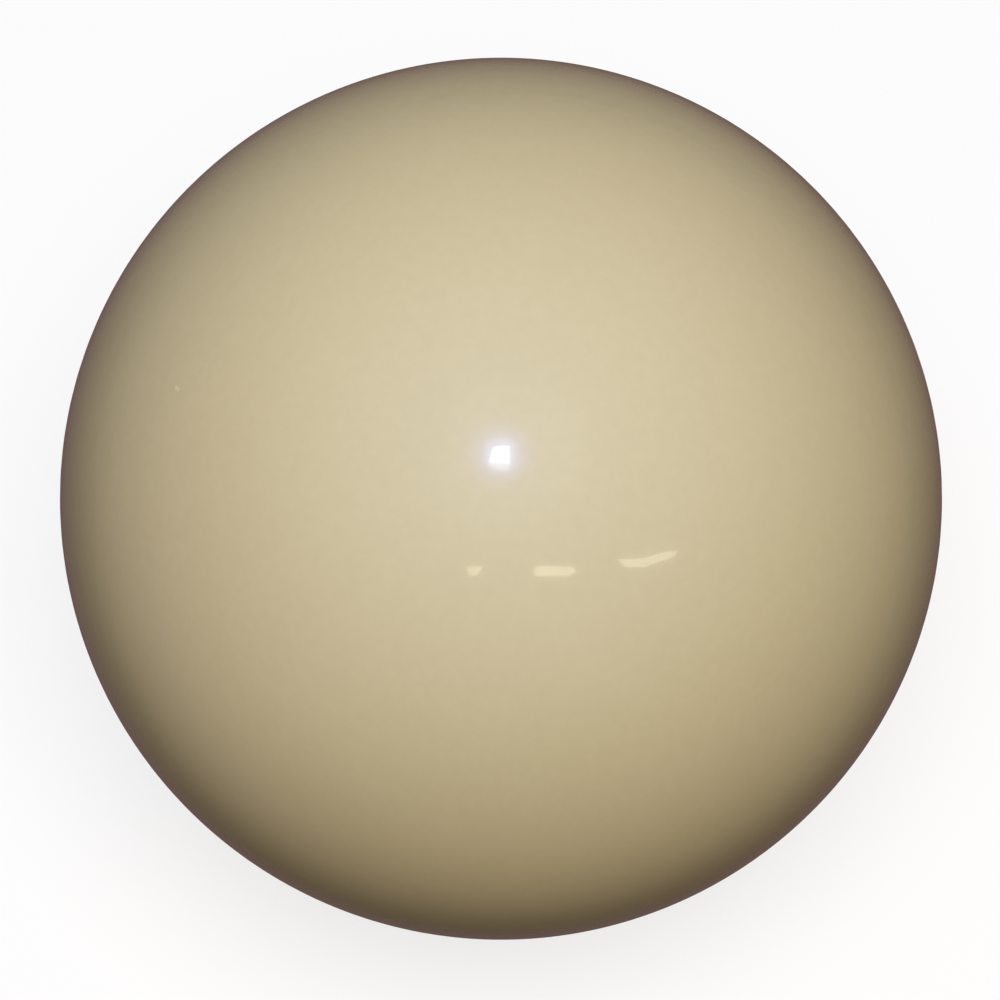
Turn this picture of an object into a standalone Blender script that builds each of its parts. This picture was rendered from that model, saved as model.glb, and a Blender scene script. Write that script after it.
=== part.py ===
"""A cored cue ball: a polished resin shell, cast round an iron-filled core that one resin pin holds central."""

import math

import bpy

# Driving dimensions, in metres
BALL_DIAMETER = 0.05715
SHELL_WALL = 0.0095
PIN_DIAMETER = 0.005
PIN_LEAD_IN = 0.0005
SOCKET_DEPTH = 0.006
BOND_GAP = 0.0003

# Colours and roughness of the two resins
IVORY_COLOUR = (0.74, 0.64, 0.39)
IRON_COLOUR = (0.045, 0.043, 0.042)
POLISHED_ROUGHNESS = 0.06
CAST_ROUGHNESS = 0.6

# How finely the turned pieces are faceted
TURN_STEPS = 64
SURFACE_QUARTER_STEPS = 16
INNER_QUARTER_STEPS = 10
PIN_CAP_STEPS = 2
SHARP_ANGLE = math.radians(35)

# Sizes that follow from the driving dimensions
BALL_RADIUS = BALL_DIAMETER / 2
CAVITY_RADIUS = BALL_RADIUS - SHELL_WALL
CORE_RADIUS = CAVITY_RADIUS - BOND_GAP
PIN_RADIUS = PIN_DIAMETER / 2
BORE_RADIUS = PIN_RADIUS + BOND_GAP
SOCKET_FLOOR = -(CORE_RADIUS - SOCKET_DEPTH)
PIN_INNER_END = SOCKET_FLOOR - BOND_GAP

EQUATOR = math.pi / 2
PIN_POLE = math.pi
PIN_TO_BACK = (math.pi / 2, 0, 0)
MERGE_DISTANCE = BOND_GAP / 30


def clear_scene():
    for obj in list(bpy.data.objects):
        bpy.data.objects.remove(obj, do_unlink=True)


def make_material(name, colour, roughness):
    material = bpy.data.materials.new(name)
    material.use_nodes = True
    shader = material.node_tree.nodes["Principled BSDF"]
    shader.inputs["Base Color"].default_value = (*colour, 1)
    shader.inputs["Roughness"].default_value = roughness
    shader.inputs["Metallic"].default_value = 0
    material.diffuse_color = (*colour, 1)
    return material


def arc(radius, start, end, steps):
    """Points (across, height) on a circle about the ball's centre, between two angles from the far pole."""
    angles = [start + (end - start) * step / steps for step in range(steps + 1)]
    return [(radius * math.sin(angle), radius * math.cos(angle)) for angle in angles]


def hole_edge(radius, hole_radius):
    """The angle from the far pole at which a hole round the pin's pole cuts a sphere."""
    return PIN_POLE - math.asin(hole_radius / radius)


def pierced_sphere(radius, hole_radius, steps):
    """The outline of a sphere, from its far pole down to the edge of the hole round its pin pole."""
    upper = arc(radius, 0, EQUATOR, steps)
    lower = arc(radius, EQUATOR, hole_edge(radius, hole_radius), steps)
    return upper + lower[1:]


def shell_profile():
    """Down the polished outside to the pin's bore, then up the bore and the cavity's wall."""
    outside = pierced_sphere(BALL_RADIUS, BORE_RADIUS, SURFACE_QUARTER_STEPS)
    cavity = pierced_sphere(CAVITY_RADIUS, BORE_RADIUS, INNER_QUARTER_STEPS)
    return outside + cavity[::-1]


def core_profile():
    """Down the core's outside to its socket, then up the socket's wall and across its floor."""
    outside = pierced_sphere(CORE_RADIUS, BORE_RADIUS, INNER_QUARTER_STEPS)
    return outside + [(BORE_RADIUS, SOCKET_FLOOR), (0, SOCKET_FLOOR)]


def pin_profile():
    """Across the pin's inner end and down its side, then along the cap that carries on the ball's surface."""
    inner_end = [(0, PIN_INNER_END), (PIN_RADIUS - PIN_LEAD_IN, PIN_INNER_END)]
    lead_in = [(PIN_RADIUS, PIN_INNER_END - PIN_LEAD_IN)]
    cap = arc(BALL_RADIUS, hole_edge(BALL_RADIUS, PIN_RADIUS), PIN_POLE, PIN_CAP_STEPS)
    return inner_end + lead_in + cap


def smooth_by_angle(obj):
    """Keep the turned mesh, smooth on its curves and sharp at the rims of its holes and ends."""
    graph = bpy.context.evaluated_depsgraph_get()
    mesh = bpy.data.meshes.new_from_object(obj.evaluated_get(graph))
    obj.modifiers.clear()
    obj.data = mesh
    mesh.name = obj.name
    mesh.shade_smooth()
    mesh.set_sharp_from_angle(angle=SHARP_ANGLE)


def turned_piece(name, profile, material, collection, parent):
    """A closed solid, turned about the pin's axis from an outline that starts and ends on it."""
    mesh = bpy.data.meshes.new(name + "_profile")
    points = [(across, 0, height) for across, height in profile]
    edges = [(index, index + 1) for index in range(len(points) - 1)]
    mesh.from_pydata(points, edges, [])
    mesh.materials.append(material)
    obj = bpy.data.objects.new(name, mesh)
    collection.objects.link(obj)
    turn = obj.modifiers.new("turn", "SCREW")
    turn.axis = "Z"
    turn.angle = 2 * math.pi
    turn.steps = TURN_STEPS
    turn.render_steps = TURN_STEPS
    turn.use_merge_vertices = True
    turn.merge_threshold = MERGE_DISTANCE
    smooth_by_angle(obj)
    obj.parent = parent
    return obj


def main():
    clear_scene()
    collection = bpy.data.collections.new("cue_ball")
    bpy.context.scene.collection.children.link(collection)
    pin_axis = bpy.data.objects.new("pin_axis", None)
    pin_axis.rotation_euler = PIN_TO_BACK
    collection.objects.link(pin_axis)

    ivory_resin = make_material("ivory_resin", IVORY_COLOUR, POLISHED_ROUGHNESS)
    pin_resin = make_material("pin_resin", IVORY_COLOUR, POLISHED_ROUGHNESS)
    iron_filled_resin = make_material("iron_filled_resin", IRON_COLOUR, CAST_ROUGHNESS)

    turned_piece("outer_shell", shell_profile(), ivory_resin, collection, pin_axis)
    turned_piece("inner_core", core_profile(), iron_filled_resin, collection, pin_axis)
    turned_piece("core_pin", pin_profile(), pin_resin, collection, pin_axis)


main()
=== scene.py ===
"""The cue ball's looks: its polished resin, and the camera and studio that show it as it was photographed."""

import math

import bmesh
import bpy
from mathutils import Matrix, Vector


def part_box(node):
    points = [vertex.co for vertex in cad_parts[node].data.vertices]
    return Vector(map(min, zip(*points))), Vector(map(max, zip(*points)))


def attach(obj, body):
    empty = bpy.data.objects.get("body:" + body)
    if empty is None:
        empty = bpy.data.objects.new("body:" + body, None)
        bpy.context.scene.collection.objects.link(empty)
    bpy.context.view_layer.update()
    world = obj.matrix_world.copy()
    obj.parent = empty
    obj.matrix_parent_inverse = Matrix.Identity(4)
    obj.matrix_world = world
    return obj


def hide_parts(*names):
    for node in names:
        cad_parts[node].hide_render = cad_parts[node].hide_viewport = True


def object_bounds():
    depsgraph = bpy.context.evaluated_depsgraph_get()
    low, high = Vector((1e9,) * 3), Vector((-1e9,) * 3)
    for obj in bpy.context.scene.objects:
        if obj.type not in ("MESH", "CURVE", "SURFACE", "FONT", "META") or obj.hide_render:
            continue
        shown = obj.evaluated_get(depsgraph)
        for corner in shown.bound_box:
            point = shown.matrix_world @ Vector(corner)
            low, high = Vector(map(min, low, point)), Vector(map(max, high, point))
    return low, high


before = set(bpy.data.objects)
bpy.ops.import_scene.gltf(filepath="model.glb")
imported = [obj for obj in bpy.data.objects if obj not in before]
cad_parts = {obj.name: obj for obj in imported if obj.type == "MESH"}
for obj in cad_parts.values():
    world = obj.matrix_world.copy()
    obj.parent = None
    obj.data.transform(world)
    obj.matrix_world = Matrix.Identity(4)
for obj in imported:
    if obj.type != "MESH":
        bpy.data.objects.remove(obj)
CAD_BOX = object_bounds()

# Sizes of the frame, in metres
BALL_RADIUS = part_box("outer_shell")[1].x
CORE_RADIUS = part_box("inner_core")[1].x
PIN_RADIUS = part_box("core_pin")[1].x
PIN_INNER_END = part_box("core_pin")[0].y
FLOOR_HEIGHT = CAD_BOX[0].z

# The photograph's frame, in its own pixels
FRAME_PX = 1000
BALL_CENTRE_PX = (501.0, 498.7)
BALL_RADIUS_PX = 441.1
GLINT_PX = [(494.5, 446), (509.8, 446), (509.3, 463.5), (488.7, 462)]
GLINT_FOOT_PX = [(488.7, 462), (509.3, 463.5), (509.8, 470), (502, 470.5), (490, 466.5)]
GLINT_FRAME_PX = [
    (489, 438), (512, 438), (517, 445), (516, 467), (509, 471), (490, 468), (484, 460), (485, 446)
]
HALO_CENTRE_PX = (500, 454.5)
HALO_RADIUS_PX = 46
LAMPS_PX = {
    "left": [(467, 566.3), (483, 566.3), (478.5, 573.5), (476, 575.8), (468.5, 575.8)],
    "middle": [(534.5, 566), (572.5, 566), (576.2, 572.5), (568, 576), (534.5, 576)],
    "right": [(617, 559), (645, 558), (656, 554.3), (664, 551.7), (676.5, 551), (677.5, 553), (672, 558),
              (659, 561.5), (645, 567), (625, 567)],
}
FLECK_PX = [(176.2, 388.0), (178.0, 389.3)]

# The camera, in metres
VIEW_ELEVATION = math.radians(60)
VIEW_DISTANCE = 0.28
SENSOR_WIDTH = 0.036
CLIP_START = 0.01
MM_PER_METRE = 1000

# The soft lamps, in metres. A level of 1 lights a surface that faces the lamp to its own colour.
WHITE = (1.0, 1.0, 1.0)
SOFT_LAMP_DISTANCE = 1.0
KEY_LEVEL = 1.0
KEY_COLOUR = (1.0, 0.95, 0.82)
KEY_WIDTH = 0.7
KEY_LIFT = math.radians(11.2)
KEY_TURN = math.radians(2.4)
DAYLIGHT_LEVEL = 0.2
DAYLIGHT_COLOUR = (0.0, 0.24, 1.0)
DAYLIGHT_WIDTH = 1.0
DAYLIGHT_LIFT = math.radians(28.5)
DAYLIGHT_TURN = math.radians(-8)
FILL_LEVEL = 0.75
FILL_WIDTH = 3.0

# The small lamps that the ball mirrors, in metres
GLINT_RADIANCE = (8, 9, 15)
GLINT_FOOT_RADIANCE = (2.8, 3.6, 6.0)
GLINT_FRAME_RADIANCE = (1.0, 1.8, 4.8)
GLINT_FRAME_SET_BACK = 0.01
HALO_RADIANCE = (1.0, 1.6, 6.2)
LAMP_RADIANCE = (2.75, 2.85, 2.55)
LAMP_DISTANCE = 0.5
HALO_DISTANCE = 0.55
HALO_STEPS = 64

# The world, the floor and the tent, in metres
AMBIENT = (0.055, 0.012, 0.0)
FLOOR_SIZE = 6.0
FLOOR_GLOW = 0.75
TENT_RADIUS = 2.0
TENT_STEPS = 32
TENT_RINGS = 16
TENT_BRIGHT = (0.08, 0.44, 0.98)
TENT_DARK = (0.0, 0.0, 0.0)
TENT_FALLOFF = 4
FAR_SIDE = (0.127, 0.083, 0.076)
FAR_SIDE_LIFT = math.radians(7)
FAR_SIDE_INNER = math.radians(11)
FAR_SIDE_OUTER = math.radians(49)

# The turned pieces: the bond between them is a hairline, in metres
BOND_LINE = 0.00002
MERGE_DISTANCE = BOND_LINE / 4
POLISHED_RADIUS = BALL_RADIUS - BOND_LINE / 2
TURN_STEPS = 160
SURFACE_STEPS = 120
CAVITY_STEPS = 40
CAP_STEPS = 6
SHARP_ANGLE = math.radians(35)

# The ivory resin, in metres. A scratch adds to the roughness of the surface round it.
IVORY_LIGHT = (0.680, 0.601, 0.372)
IVORY_DEEP = (0.670, 0.591, 0.364)
PIN_TONE = 0.975
RESIN_IOR = 1.5
DIFFUSE_ROUGHNESS = 0.06
CLEAN_ROUGHNESS = 0.10
SMUDGED_ROUGHNESS = 0.15
SCRATCH_ROUGHNESS = 0.08
COAT_ROUGHNESS = 0.02
NOISE_MIDDLE = (0.3, 0.7)
CLOUD_SIZE = 0.014
CLOUD_DETAIL = 3
GRAIN_SIZE = 0.0007
GRAIN_DETAIL = 2
GRAIN_SHADE = (0.97, 0.97, 0.96)
SMUDGE_SIZE = 0.009
SMUDGE_DETAIL = 5
SCRATCH_SIZE = (0.00009, 0.00009, 0.008)
SCRATCH_TURNS = [(0.4, 0.9, 0.0), (1.3, -0.5, 0.7), (2.2, 0.3, -0.6)]
SCRATCH_DETAIL = 1
SCRATCH_EDGE = (0.68, 0.76)
SCRATCH_DEPTH = 0.0000004
FLECK_COLOUR = (0.78, 0.69, 0.44)
FLECK_EDGE = (0.00006, 0.00021)
FLECK_DEPTH = 0.000002

# The core's iron-filled resin
IRON_DARK = (0.03, 0.029, 0.028)
IRON_LIGHT = (0.09, 0.087, 0.083)
IRON_SPECKS = (0.4, 0.75)
CAST_ROUGHNESS = 0.6


def view_axes():
    """The directions from the ball to the camera, and to the right and up in its picture."""
    to_camera = Vector((0, -math.cos(VIEW_ELEVATION), math.sin(VIEW_ELEVATION)))
    right = Vector((1, 0, 0))
    return to_camera, right, to_camera.cross(right)


TO_CAMERA, PICTURE_RIGHT, PICTURE_UP = view_axes()


def beside_camera(lift, turn):
    """The direction from the ball to a place this far above the camera and to its right."""
    return (TO_CAMERA + PICTURE_UP * math.tan(lift) + PICTURE_RIGHT * math.tan(turn)).normalized()


TO_KEY = beside_camera(KEY_LIFT, KEY_TURN)
TO_DAYLIGHT = beside_camera(DAYLIGHT_LIFT, DAYLIGHT_TURN)
TO_FAR_SIDE = (PICTURE_UP * math.tan(FAR_SIDE_LIFT) - TO_CAMERA).normalized()
BALL_TANGENT = BALL_RADIUS / math.sqrt(VIEW_DISTANCE**2 - BALL_RADIUS**2)
PIXEL_TANGENT = BALL_TANGENT / BALL_RADIUS_PX


def sight_line(pixel):
    """The direction from the camera through a pixel of the photograph."""
    across = (pixel[0] - BALL_CENTRE_PX[0]) * PIXEL_TANGENT
    down = (pixel[1] - BALL_CENTRE_PX[1]) * PIXEL_TANGENT
    return (PICTURE_RIGHT * across - PICTURE_UP * down - TO_CAMERA).normalized()


def point_on_ball(pixel):
    """Where the line of sight through a pixel meets the ball."""
    eye = TO_CAMERA * VIEW_DISTANCE
    line = sight_line(pixel)
    nearest = -eye.dot(line)
    depth = math.sqrt(BALL_RADIUS**2 - (eye + line * nearest).length_squared)
    return eye + line * (nearest - depth)


def mirrored_point(pixel, distance):
    """The point, this far from the ball, that the ball mirrors at a pixel."""
    point = point_on_ball(pixel)
    return point + sight_line(pixel).reflect(point.normalized()) * distance


def add_node(tree, kind, inputs=None, **settings):
    """A shader node with its settings, and its inputs by name: an output is linked and a value is set."""
    made = tree.nodes.new("ShaderNode" + kind)
    for name, value in settings.items():
        setattr(made, name, value)
    for name, value in (inputs or {}).items():
        if isinstance(value, bpy.types.NodeSocket):
            tree.links.new(value, made.inputs[name])
        else:
            made.inputs[name].default_value = value
    return made


def opaque(colour):
    return (*colour, 1)


def new_material(name):
    material = bpy.data.materials.new(name)
    material.use_nodes = True
    material.node_tree.nodes.clear()
    return material, material.node_tree


def put_out(tree, surface, kind="OutputMaterial"):
    add_node(tree, kind, {"Surface": surface.outputs[0]})


def math_node(tree, operation, *values):
    inputs = dict(enumerate(values))
    return add_node(tree, "Math", inputs, operation=operation).outputs["Value"]


def seen_directly(tree):
    """1 for the rays that see a thing directly, in a reflection or through glass, and 0 for bounced light."""
    path = add_node(tree, "LightPath").outputs
    mirrored = math_node(tree, "MAXIMUM", path["Is Glossy Ray"], path["Is Transmission Ray"])
    return math_node(tree, "MAXIMUM", path["Is Camera Ray"], mirrored)


def noise(tree, coordinates, size, detail):
    """Noise whose features are about this large, in metres."""
    inputs = {"Vector": coordinates, "Scale": 1 / size, "Detail": detail}
    return add_node(tree, "TexNoise", inputs).outputs["Fac"]


def ramp(tree, factor, span, low, high):
    """A colour that goes from low to high as the factor crosses the span."""
    made = add_node(tree, "ValToRGB", {"Fac": factor})
    for element, place, colour in zip(made.color_ramp.elements, span, (low, high)):
        element.position = place
        element.color = opaque(colour)
    return made.outputs["Color"]


def remap(tree, value, span, low, high):
    """A value that goes smoothly from low to high as another crosses the span."""
    inputs = {"Value": value, "From Min": span[0], "From Max": span[1], "To Min": low, "To Max": high}
    return add_node(tree, "MapRange", inputs, interpolation_type="SMOOTHSTEP").outputs["Result"]


def scratches(tree, coordinates):
    """Hairlines left by play, in a few directions: 1 along each line and 0 between them."""
    lines = 0
    for turn in SCRATCH_TURNS:
        inputs = {"Vector": coordinates, "Rotation": turn, "Scale": SCRATCH_SIZE}
        streaks = add_node(tree, "Mapping", inputs, vector_type="TEXTURE").outputs["Vector"]
        line = remap(tree, noise(tree, streaks, 1, SCRATCH_DETAIL), SCRATCH_EDGE, 0, 1)
        lines = math_node(tree, "MAXIMUM", lines, line)
    return lines


def fleck(tree, coordinates):
    """1 on a small fleck in the surface, made of spots that run together, and 0 elsewhere."""
    spots = 0
    for pixel in FLECK_PX:
        ends = {0: coordinates, 1: point_on_ball(pixel)}
        reach = add_node(tree, "VectorMath", ends, operation="DISTANCE").outputs["Value"]
        spot = remap(tree, reach, FLECK_EDGE, 1, 0)
        spots = math_node(tree, "MAXIMUM", spots, spot)
    return spots


def mixed_colour(tree, factor, first, second, blend="MIX"):
    inputs = {"Fac": factor, "Color1": first, "Color2": second}
    return add_node(tree, "MixRGB", inputs, blend_type=blend).outputs["Color"]


def ivory_resin(name, tone):
    """Polished cast resin: faint clouds and grain, smudges and hairline scratches, and one pale fleck."""
    material, tree = new_material(name)
    coordinates = add_node(tree, "TexCoord").outputs["Object"]
    light, deep = ([part * tone for part in colour] for colour in (IVORY_LIGHT, IVORY_DEEP))
    clouds = ramp(tree, noise(tree, coordinates, CLOUD_SIZE, CLOUD_DETAIL), NOISE_MIDDLE, deep, light)
    grain = ramp(tree, noise(tree, coordinates, GRAIN_SIZE, GRAIN_DETAIL), NOISE_MIDDLE, GRAIN_SHADE, WHITE)
    resin = mixed_colour(tree, 1, clouds, grain, "MULTIPLY")
    nick = fleck(tree, coordinates)
    hairlines = scratches(tree, coordinates)
    smears = noise(tree, coordinates, SMUDGE_SIZE, SMUDGE_DETAIL)
    smudges = remap(tree, smears, NOISE_MIDDLE, CLEAN_ROUGHNESS, SMUDGED_ROUGHNESS)
    worn = math_node(tree, "MULTIPLY_ADD", hairlines, SCRATCH_ROUGHNESS, smudges)
    scored = add_node(tree, "Bump", {"Distance": SCRATCH_DEPTH, "Height": hairlines}, invert=True)
    inputs = {"Distance": FLECK_DEPTH, "Height": nick, "Normal": scored.outputs["Normal"]}
    normal = add_node(tree, "Bump", inputs, invert=True).outputs["Normal"]
    shader = add_node(
        tree,
        "BsdfPrincipled",
        {
            "Base Color": mixed_colour(tree, nick, resin, opaque(FLECK_COLOUR)),
            "Diffuse Roughness": DIFFUSE_ROUGHNESS,
            "Roughness": worn,
            "Normal": normal,
            "IOR": RESIN_IOR,
            "Coat Weight": 1.0,
            "Coat Roughness": COAT_ROUGHNESS,
            "Coat IOR": RESIN_IOR,
            "Coat Normal": normal,
        },
    )
    put_out(tree, shader)
    return material


def iron_filled_resin():
    material, tree = new_material("iron_filled_resin")
    coordinates = add_node(tree, "TexCoord").outputs["Object"]
    specks = noise(tree, coordinates, GRAIN_SIZE, GRAIN_DETAIL)
    colour = ramp(tree, specks, IRON_SPECKS, IRON_DARK, IRON_LIGHT)
    shader = add_node(tree, "BsdfPrincipled", {"Base Color": colour, "Roughness": CAST_ROUGHNESS})
    put_out(tree, shader)
    return material


def glow_material(name, radiance):
    material, tree = new_material(name)
    put_out(tree, add_node(tree, "Emission", {"Color": opaque(radiance)}))
    return material


def halo_material():
    material, tree = new_material("halo")
    coordinates = add_node(tree, "TexCoord").outputs["Object"]
    fade = add_node(tree, "TexGradient", {"Vector": coordinates}, gradient_type="QUADRATIC_SPHERE")
    glow = add_node(tree, "Emission", {"Color": opaque(HALO_RADIANCE), "Strength": fade.outputs["Fac"]})
    clear = add_node(tree, "BsdfTransparent")
    put_out(tree, add_node(tree, "AddShader", {0: glow.outputs[0], 1: clear.outputs[0]}))
    return material


def pale_floor_material():
    """White, and lit enough to take the ball's soft shadow."""
    material, tree = new_material("pale_floor")
    lit = add_node(tree, "BsdfDiffuse", {"Color": opaque(WHITE)})
    glow = add_node(tree, "Emission", {"Color": opaque(WHITE)})
    put_out(tree, add_node(tree, "MixShader", {0: FLOOR_GLOW, 1: lit.outputs[0], 2: glow.outputs[0]}))
    return material


def cosine_between(tree, facing, direction):
    """The cosine of the angle between two directions."""
    return add_node(tree, "VectorMath", {0: facing, 1: direction}, operation="DOT_PRODUCT").outputs["Value"]


def tent_material():
    """Cloth that glows most where the key stands, and a little on the far side that the rim mirrors."""
    material, tree = new_material("light_tent")
    coordinates = add_node(tree, "TexCoord").outputs["Object"]
    facing = add_node(tree, "VectorMath", {0: coordinates}, operation="NORMALIZE").outputs["Vector"]
    share = math_node(tree, "MULTIPLY_ADD", cosine_between(tree, facing, TO_KEY), 0.5, 0.5)
    near_glow = math_node(tree, "POWER", share, TENT_FALLOFF)
    near_side = ramp(tree, near_glow, (0, 1), TENT_DARK, TENT_BRIGHT)
    far_edge = (math.cos(FAR_SIDE_OUTER), math.cos(FAR_SIDE_INNER))
    far_glow = remap(tree, cosine_between(tree, facing, TO_FAR_SIDE), far_edge, 0, 1)
    colour = mixed_colour(tree, far_glow, near_side, opaque(FAR_SIDE))
    put_out(tree, add_node(tree, "Emission", {"Color": colour}))
    material.cycles.emission_sampling = "NONE"
    return material


def mesh_object(name, bm, material):
    mesh = bpy.data.meshes.new(name)
    bm.to_mesh(mesh)
    bm.free()
    mesh.materials.append(material)
    obj = bpy.data.objects.new(name, mesh)
    bpy.context.scene.collection.objects.link(obj)
    return obj


def arc(radius, start, end, steps):
    """Points (across, along) on a circle about the ball's centre, between two angles from its front."""
    angles = [start + (end - start) * step / steps for step in range(steps + 1)]
    return [(radius * math.sin(angle), -radius * math.cos(angle)) for angle in angles]


def hole_edge(radius, hole_radius):
    """The angle from the front at which a hole round the pin's axis cuts a sphere."""
    return math.pi - math.asin(hole_radius / radius)


def shell_profile():
    """Along the polished outside to the pin's bore at the back, then down the bore and along the cavity."""
    bore = PIN_RADIUS + BOND_LINE
    cavity = CORE_RADIUS + BOND_LINE
    outside = arc(BALL_RADIUS, 0, hole_edge(BALL_RADIUS, bore), SURFACE_STEPS)
    return outside + arc(cavity, hole_edge(cavity, bore), 0, CAVITY_STEPS)


def pin_profile():
    """Across the pin's inner end and along its side, then over the end that is ground flush with the ball."""
    inner_end = [(0, PIN_INNER_END), (PIN_RADIUS, PIN_INNER_END)]
    return inner_end + arc(BALL_RADIUS, hole_edge(BALL_RADIUS, PIN_RADIUS), math.pi, CAP_STEPS)


def shade_as_sphere(mesh):
    """Smooth shading that is true to the sphere on the polished surface, and sharp at its edges elsewhere."""
    mesh.shade_smooth()
    mesh.set_sharp_from_angle(angle=SHARP_ANGLE)
    unset = Vector((0, 0, 0))
    points = [vert.co for vert in mesh.vertices]
    normals = [point.normalized() if point.length > POLISHED_RADIUS else unset for point in points]
    mesh.normals_split_custom_set_from_vertices(normals)


def turned_piece(name, profile, material, node):
    """A closed solid, turned about the pin's axis from an outline that starts and ends on it."""
    bm = bmesh.new()
    verts = [bm.verts.new((across, along, 0)) for across, along in profile]
    edges = [bm.edges.new(ends) for ends in zip(verts, verts[1:])]
    bmesh.ops.spin(
        bm, geom=verts + edges, axis=(0, 1, 0), angle=2 * math.pi, steps=TURN_STEPS, use_merge=True
    )
    bmesh.ops.remove_doubles(bm, verts=bm.verts[:], dist=MERGE_DISTANCE)
    bmesh.ops.recalc_face_normals(bm, faces=bm.faces[:])
    piece = mesh_object(name, bm, material)
    shade_as_sphere(piece.data)
    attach(piece, "root")
    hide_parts(node)


def make_ball():
    turned_piece("polished_shell", shell_profile(), ivory_resin("ivory_resin", 1), "outer_shell")
    turned_piece("flush_pin", pin_profile(), ivory_resin("pin_resin", PIN_TONE), "core_pin")


def dress_core():
    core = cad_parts["inner_core"]
    core.data.materials.clear()
    core.data.materials.append(iron_filled_resin())


def make_floor():
    """A pale floor that takes the ball's shadow, sends no light back to it and lets the fill through."""
    bm = bmesh.new()
    bmesh.ops.create_grid(bm, x_segments=1, y_segments=1, size=FLOOR_SIZE / 2)
    floor = mesh_object("floor", bm, pale_floor_material())
    floor.location.z = FLOOR_HEIGHT
    floor.visible_diffuse = False
    floor.visible_glossy = False
    floor.visible_shadow = False


def show_only_in_reflections(obj):
    obj.visible_camera = False
    obj.visible_diffuse = False
    obj.visible_shadow = False
    obj.visible_transmission = False


def make_tent():
    """Cloth all round the ball, which only its reflections show."""
    bm = bmesh.new()
    bmesh.ops.create_uvsphere(bm, u_segments=TENT_STEPS, v_segments=TENT_RINGS, radius=TENT_RADIUS)
    tent = mesh_object("light_tent", bm, tent_material())
    show_only_in_reflections(tent)


def make_lamp(name, corners, material, set_back=0):
    """A small lamp panel, with the outline that the ball mirrors at these pixels."""
    bm = bmesh.new()
    bm.faces.new([bm.verts.new(mirrored_point(corner, LAMP_DISTANCE + set_back)) for corner in corners])
    lamp = mesh_object(name, bm, material)
    show_only_in_reflections(lamp)


def make_halo():
    """A faint bluish glow round the glint, which fades out from its middle."""
    bm = bmesh.new()
    bmesh.ops.create_circle(bm, cap_ends=True, segments=HALO_STEPS, radius=1)
    halo = mesh_object("halo_lamp", bm, halo_material())
    centre = mirrored_point(HALO_CENTRE_PX, HALO_DISTANCE)
    side = mirrored_point((HALO_CENTRE_PX[0] + HALO_RADIUS_PX, HALO_CENTRE_PX[1]), HALO_DISTANCE)
    halo.location = centre
    halo.rotation_euler = centre.to_track_quat("Z", "Y").to_euler()
    halo.scale = ((side - centre).length,) * 3
    show_only_in_reflections(halo)


def make_lamps():
    make_lamp("glint_lamp", GLINT_PX, glow_material("glint", GLINT_RADIANCE))
    make_lamp("glint_foot", GLINT_FOOT_PX, glow_material("glint_foot", GLINT_FOOT_RADIANCE))
    bluish = glow_material("glint_frame", GLINT_FRAME_RADIANCE)
    make_lamp("glint_frame", GLINT_FRAME_PX, bluish, GLINT_FRAME_SET_BACK)
    make_halo()
    cream = glow_material("lamp", LAMP_RADIANCE)
    for side, corners in LAMPS_PX.items():
        make_lamp(side + "_lamp", corners, cream)


def make_soft_lamp(name, direction, level, colour, width):
    """A broad soft lamp of this level, which the ball neither mirrors nor bounces on to the floor."""
    data = bpy.data.lights.new(name, "AREA")
    data.shape = "DISK"
    data.size = width
    data.energy = math.pi**2 * level * (SOFT_LAMP_DISTANCE**2 + (width / 2) ** 2)
    data.color = colour
    data.cycles.max_bounces = 0
    lamp = bpy.data.objects.new(name, data)
    lamp.location = direction * SOFT_LAMP_DISTANCE
    lamp.rotation_euler = direction.to_track_quat("Z", "Y").to_euler()
    lamp.visible_glossy = False
    lamp.visible_camera = False
    bpy.context.scene.collection.objects.link(lamp)


def make_world():
    """Dim warm light from all round, and a white background."""
    world = bpy.data.worlds.new("studio")
    world.use_nodes = True
    tree = world.node_tree
    tree.nodes.clear()
    ambient = add_node(tree, "Background", {"Color": opaque(AMBIENT)})
    white = add_node(tree, "Background", {"Color": opaque(WHITE)})
    inputs = {0: seen_directly(tree), 1: ambient.outputs[0], 2: white.outputs[0]}
    put_out(tree, add_node(tree, "MixShader", inputs), "OutputWorld")
    bpy.context.scene.world = world


def make_camera():
    data = bpy.data.cameras.new("camera")
    data.sensor_width = SENSOR_WIDTH * MM_PER_METRE
    data.lens = SENSOR_WIDTH / (PIXEL_TANGENT * FRAME_PX) * MM_PER_METRE
    data.shift_x = 0.5 - BALL_CENTRE_PX[0] / FRAME_PX
    data.shift_y = BALL_CENTRE_PX[1] / FRAME_PX - 0.5
    data.clip_start = CLIP_START
    camera = bpy.data.objects.new("camera", data)
    camera.location = TO_CAMERA * VIEW_DISTANCE
    camera.rotation_euler = TO_CAMERA.to_track_quat("Z", "Y").to_euler()
    bpy.context.scene.collection.objects.link(camera)
    bpy.context.scene.camera = camera


make_ball()
dress_core()
make_floor()
make_tent()
make_lamps()
make_soft_lamp("key", TO_KEY, KEY_LEVEL, KEY_COLOUR, KEY_WIDTH)
make_soft_lamp("daylight", TO_DAYLIGHT, DAYLIGHT_LEVEL, DAYLIGHT_COLOUR, DAYLIGHT_WIDTH)
make_soft_lamp("fill", -TO_CAMERA, FILL_LEVEL, WHITE, FILL_WIDTH)
make_world()
make_camera()
bpy.context.scene.view_settings.view_transform = "Standard"
